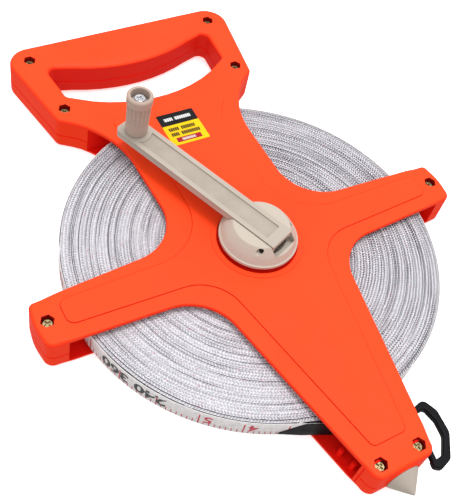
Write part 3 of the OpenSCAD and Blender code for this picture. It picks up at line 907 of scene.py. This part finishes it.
INCH_STEP = math.tau * TICKS_IN_INCH / TICKS
printed_numerals("tape_red_numerals", ink("red_ink", (0.50, 0.015, 0.04)),
                 [(INCH_STEP * (k + 0.53), str((k + 4) % 12), MID_Z + 0.4) for k in range(29)
                  if k % 12 not in (2, 3, 4)], 9.6, 1.1, 0.28)
printed_numerals("tape_black_numerals", ink("black_ink", (0.012, 0.012, 0.014)),
                 [(INCH_STEP * (k + 3.4), "240 360", MID_Z + 0.2) for k in (0, 12, 24)], 10.6, 1.28, 0.36)


def tail_strip(length=69.0, steps=46):
    """The straight run of the tape under the sleeve."""
    s = Shape()
    line = [PULL @ Vector((length * k / steps, 0, 0)) for k in range(steps + 1)]
    side = PULL_TURN @ Vector((0, -1, 0))
    strap(s, [(p.x, p.y) for p in line], [(side.x, side.y)] * len(line), TAPE_T / 2)
    return s.build("tape_tail_strip", TAPE_FACE, sharp=50, weighted=False)


tail_obj = tail_strip()
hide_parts("tape_tail")
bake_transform(tail_obj)


# ---------------------------------------------------------------- sleeve, clasp, ring, label
BLACK = (0.004, 0.004, 0.005)


def black(name, roughness, grain, scale):
    """Dull black plastic with a grain of the given depth and scale."""
    n = Nodes(name)
    n.set(Specular_IOR_Level=0.08)
    greyer = tuple(1.8 * c for c in BLACK)
    n.link(n.ramp(n.noise(50.0, 4.0, 0.65), [(0.35, BLACK), (0.7, greyer)]), "Base Color")
    n.uneven_gloss(n.noise(120.0, 4.0), roughness - 0.08, roughness + 0.1)
    n.bump(n.noise(scale, 4.0, 0.6), grain)
    return n.material


SLEEVE = black("black_vinyl", 0.45, 0.00025, 160.0)
RING = black("black_nylon", 0.40, 0.00004, 700.0)
soften("tail_sleeve", SLEEVE, 0.12, 2)
soften("end_clasp", RING, 0.3)


def rounded_slab(shape, outer, z0, z1, edge):
    """A flat plate with rounded rims, from its outline and its two heights."""
    high = rounded_edge(0, z1, edge, 4)
    rims = path_loops(shape, outer, [(d, z0 + z1 - z) for d, z in high][::-1] + high)
    shape.strips(rims)
    shape.cap(rims[0], up=False)
    shape.cap(rims[-1])


RING_AT = (Matrix.Translation(Vector((25.6, -141, MID_Z)) * MM)
           @ Matrix.Rotation(math.radians(-11.4), 4, "Z"))
# The loop as one C: down the outside from the bar's top, and back up along the inside
RING_LOOP = [(-2, 8.4, 1.2), (9.6, 13.8, 4), (15.2, 5.4, 6), (16.4, -8.4, 9), (9.6, -23, 5),
             (2.2, -27, 3), (-2, -25, 2), (-2, -20.4, 1.2), (2, -20.8, 1), (6.2, -19.4, 3),
             (11.6, -9, 7), (11.2, 0, 6), (8.0, 8.0, 2), (2, 6.8, 1.5), (-2, 6.6, 0.2)][::-1]


def pull_ring():
    """The loop, and the round bar that turns in the clasp."""
    s = Shape()
    rounded_slab(s, RING_LOOP, -2.25, 2.25, 0.95)
    s.strips([s.loop3([(r * math.cos(math.tau * k / 32), y, -r * math.sin(math.tau * k / 32))
                       for k in range(32)]) for y, r in ((-22, 1.9), (-21.4, 2), (6.6, 2), (7, 1.9))])
    return s.build("pull_ring_loop", RING)


ring_obj = pull_ring()
ring_obj.matrix_world = RING_AT
place(ring_obj, "pull_ring", "ring_black", "end_ring")


def label_material():
    """A sticker with a dark band, a yellow field and plain bars in place of its print."""
    n = Nodes("label_print")
    n.set(Specular_IOR_Level=0.15)
    xyz = n.xyz()
    # Bars that stand for words are broken into blocks as wide as letters
    letters = n.math("LESS_THAN", n.math("FRACT", n.math("DIVIDE", xyz["X"], 1.5 * MM)), 0.80)
    colour = n.ramp(n.noise(300.0, 3.0), [(0.3, (0.80, 0.50, 0.0)), (0.7, (0.88, 0.56, 0.0))])
    white = (0.70, 0.70, 0.70)
    for (x0, x1, y0, y1), paint, broken in (((-14, 14, 3.6, 15), BLACK, False),
                                            ((-9.7, -3.6, 7.4, 10.2), white, True),
                                            ((-2.0, 9.7, 7.4, 10.2), white, True),
                                            ((-10.4, -3.2, -1.8, 1.2), BLACK, True),
                                            ((-1.4, 8.6, -1.8, 1.2), BLACK, True),
                                            ((-10.4, -5.0, -6.3, -3.3), BLACK, True),
                                            ((-3.4, 10.4, -6.3, -3.3), BLACK, True),
                                            ((-9.0, 9.0, -12.0, -8.0), (0.36, 0.008, 0.02), False),
                                            ((-5.2, 4.8, -11.0, -9.0), (0.62, 0.55, 0.50), True)):
        inside = n.times(n.between(xyz["X"], x0 * MM, x1 * MM), n.between(xyz["Y"], y0 * MM, y1 * MM))
        colour = n.mix(n.times(inside, letters) if broken else inside, colour, paint)
    n.link(colour, "Base Color")
    n.uneven_gloss(n.noise(90.0, 4.0), 0.28, 0.42)
    n.bump(n.noise(70.0, 3.0), 0.00006)
    return n.material


def sticker(half=(13.5, 14), corner=0.8):
    """The label's thin plate, 0.2 mm thick."""
    s = Shape()
    x, y = half
    rounded_slab(s, [(-x, -y, corner), (x, -y, corner), (x, y, corner), (-x, y, corner)], 0, 0.2, 0.08)
    return s.build("label_sticker", label_material(), weighted=False)


sticker_obj = sticker()
sticker_obj.matrix_world = (Matrix.Translation(Vector((0.6, 100, FRONT_Z + PANEL_H)) * MM)
                            @ Matrix.Rotation(math.radians(-1), 4, "Z"))
place(sticker_obj, "frame", "label_print", "label")


# ---------------------------------------------------------------- floor
WHITE = (1.0, 1.0, 1.0, 1.0)


def paper_material():
    """White backdrop paper, lit a little from behind, and clear from below so that it hides nothing."""
    n = Nodes("white_paper")
    n.set(Roughness=0.9, Specular_IOR_Level=0.0, Emission_Color=WHITE, Emission_Strength=0.45)
    n.link(n.ramp(n.noise(40.0, 4.0, 0.6), [(0.3, (0.93, 0.93, 0.93)), (0.7, (0.96, 0.96, 0.96))]),
           "Base Color")
    n.bump(n.noise(900.0, 3.0, 0.6), 0.00002)
    one_sided = n.add("MixShader", {0: n.add("NewGeometry").outputs["Backfacing"], 1: n.shader.outputs[0],
                                    2: n.add("BsdfTransparent").outputs[0]})
    n.tree.links.new(one_sided.outputs[0], n.tree.nodes["Material Output"].inputs["Surface"])
    return n.material


def paper_floor(size=6000.0, steps=12, z=-0.3):
    """A square sheet just under the reel's back."""
    s = Shape()
    places = [size * (k / steps - 0.5) for k in range(steps + 1)]
    s.strips([s.loop([(x, y) for x in places], z) for y in places], closed=False)
    floor = s.build("paper_floor", paper_material(), weighted=False)
    # The room's light reaches the reel from below as well, so the paper blocks and reflects none
    floor.visible_diffuse = floor.visible_glossy = floor.visible_shadow = False


paper_floor()


# ---------------------------------------------------------------- camera and light
CAMERA_AT = Vector((-225.46, -226.89, 424.10)) * MM
CAMERA_RIGHT = Vector((0.85741, -0.48558, 0.17047))
CAMERA_UP = Vector((0.30830, 0.74987, 0.58536))
camera_data = bpy.data.cameras.new("photo_camera")
camera_data.lens = 60.65
camera_data.sensor_width = 36.0
camera_data.sensor_fit = "VERTICAL"
camera_data.sensor_height = 36.0
camera = bpy.data.objects.new("photo_camera", camera_data)
bpy.context.scene.collection.objects.link(camera)
camera_turn = Matrix((CAMERA_RIGHT, CAMERA_UP, CAMERA_RIGHT.cross(CAMERA_UP))).transposed()
camera.matrix_world = Matrix.Translation(CAMERA_AT) @ camera_turn.to_4x4()
bpy.context.scene.camera = camera


class RoomNodes(Nodes):
    """The same short way to write the world."""

    def __init__(self, name):
        world = bpy.data.worlds.new(name)
        world.use_nodes = True
        bpy.context.scene.world = world
        self.tree = world.node_tree
        self.shader = self.tree.nodes["Background"]


def white_room():
    """A soft pale room, brighter overhead, that lights the object and is plain white behind it."""
    n = RoomNodes("white_room")
    up = n.xyz(n.add("TexCoord").outputs["Generated"])["Z"]
    height = n.math("MULTIPLY_ADD", up, 0.5, 0.5)
    n.link(n.ramp(height, [(0.30, (0.60, 0.58, 0.57)), (0.75, (0.82, 0.82, 0.84))]), "Color")
    seen = n.add("MixShader", {0: n.add("LightPath").outputs["Is Camera Ray"], 1: n.shader.outputs[0],
                               2: n.add("Background", {"Color": WHITE}).outputs[0]})
    n.tree.links.new(seen.outputs[0], n.tree.nodes["World Output"].inputs["Surface"])


white_room()
bpy.context.scene.view_settings.view_transform = "Standard"
bpy.context.scene.view_settings.exposure = 0.32

key_data = bpy.data.lights.new("window_light", "SUN")
key_data.energy = 1.35
key_data.angle = math.radians(22)
key = bpy.data.objects.new("window_light", key_data)
bpy.context.scene.collection.objects.link(key)
key.rotation_euler = Vector((0.16, 0.12, 1.0)).to_track_quat("Z", "Y").to_euler()
